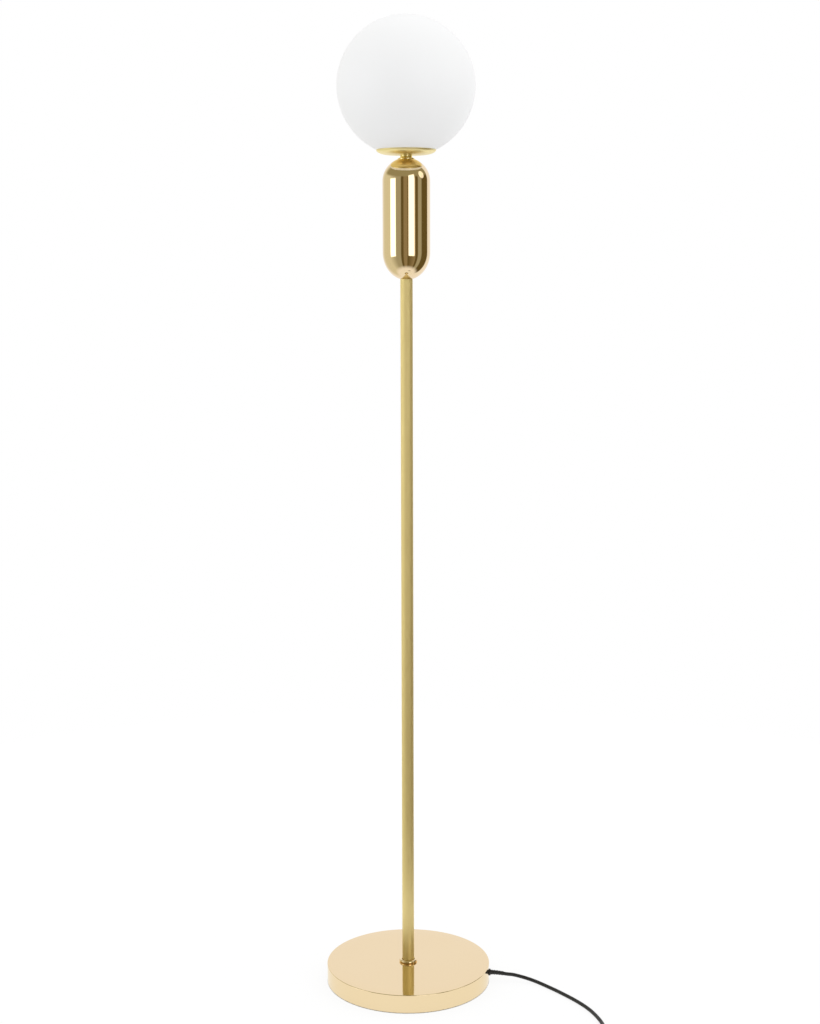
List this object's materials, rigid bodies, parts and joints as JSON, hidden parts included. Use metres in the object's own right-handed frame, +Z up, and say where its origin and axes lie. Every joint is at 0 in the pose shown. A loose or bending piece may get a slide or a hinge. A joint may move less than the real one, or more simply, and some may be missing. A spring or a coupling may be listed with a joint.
{
  "type": "floor lamp",
  "caption": "Floor lamp with a round weighted base, slim gold stem, polished capsule body and an opal glass globe in a shallow dish, with mains cord, foot switch and plug.",
  "frame": {"origin": "on the floor at the centre of the round base", "axes": "+Z up along the stem, +X towards the cord outlet in the wall of the base, and the pictured side is -Y"},
  "size_m": [0.423, 0.4603, 1.4471],
  "materials": {
    "polished_gold": "mirror-polished plated surface",
    "satin_gold": "satin plated surface with a soft sheen",
    "steel": "zinc-plated steel",
    "brass_contact": "plain brass contacts",
    "cast_iron": "rough casting",
    "black_plastic": "moulded black plastic",
    "black_pvc": "smooth black sheath",
    "white_plastic": "moulded white plastic",
    "ceramic": "white insulating board and body",
    "opal_glass": "opal white with a satin outside",
    "bulb_diffuser": "milky diffuser",
    "brown_core": "brown core insulation",
    "blue_core": "blue core insulation"
  },
  "bodies": {
    "stand": {"base_cover": "polished_gold", "stem_collar": "polished_gold", "capsule_shell": "polished_gold", "capsule_neck": "polished_gold", "globe_dish": "polished_gold", "stem_tube": "satin_gold", "plate_screw_1": "steel", "plate_screw_2": "steel", "plate_screw_3": "steel", "lower_bush": "steel", "upper_bush": "steel", "base_rod": "steel", "capsule_rod": "steel", "rod_washer": "steel", "rod_nut": "steel", "capsule_spacer": "steel", "holder_cup": "steel", "dish_nut": "steel", "globe_clip_1": "steel", "globe_clip_2": "steel", "globe_clip_3": "steel", "clamp_screw_1": "steel", "clamp_screw_2": "steel", "switch_spring": "steel", "switch_screw_1": "steel", "switch_screw_2": "steel", "screw_shell": "brass_contact", "centre_contact": "brass_contact", "live_terminal": "brass_contact", "neutral_terminal": "brass_contact", "plug_pin_1": "brass_contact", "plug_pin_2": "brass_contact", "base_weight": "cast_iron", "base_pad": "black_plastic", "bottom_plate": "black_plastic", "holder_cap": "black_plastic", "holder_skirt": "black_plastic", "cord_clamp": "black_plastic", "coil_tie": "black_plastic", "switch_base": "black_plastic", "switch_cover": "black_plastic", "plug_body": "black_plastic", "cable_gland": "black_pvc", "inner_cord": "black_pvc", "cord_lead": "black_pvc", "cord_tail": "black_pvc", "cord_coil": "black_pvc", "terminal_block": "white_plastic", "holder_insulator": "ceramic", "live_wire": "brown_core", "neutral_wire": "blue_core"},
    "globe": {"glass_globe": "opal_glass"},
    "bulb": {"bulb_dome": "bulb_diffuser", "bulb_body": "white_plastic", "led_board": "ceramic", "bulb_cap": "steel", "bulb_insulator": "black_plastic", "bulb_contact": "steel"},
    "foot_button": {"switch_button": "black_plastic"}
  },
  "joints": [
    {"name": "globe_lift", "type": "slide", "parent": "stand", "child": "globe", "axis": [0, 0, 1], "range_m": [0, 0.15]},
    {"name": "bulb_withdraw", "type": "slide", "parent": "stand", "child": "bulb", "axis": [0, 0, 1], "range_m": [0, 0.035]},
    {"name": "switch_press", "type": "slide", "parent": "stand", "child": "foot_button", "axis": [0, 0, -1], "range_m": [0, 0.003], "stiffness_N_per_m": 600, "springref_m": -0.002, "deforming": ["switch_spring"]}
  ]
}
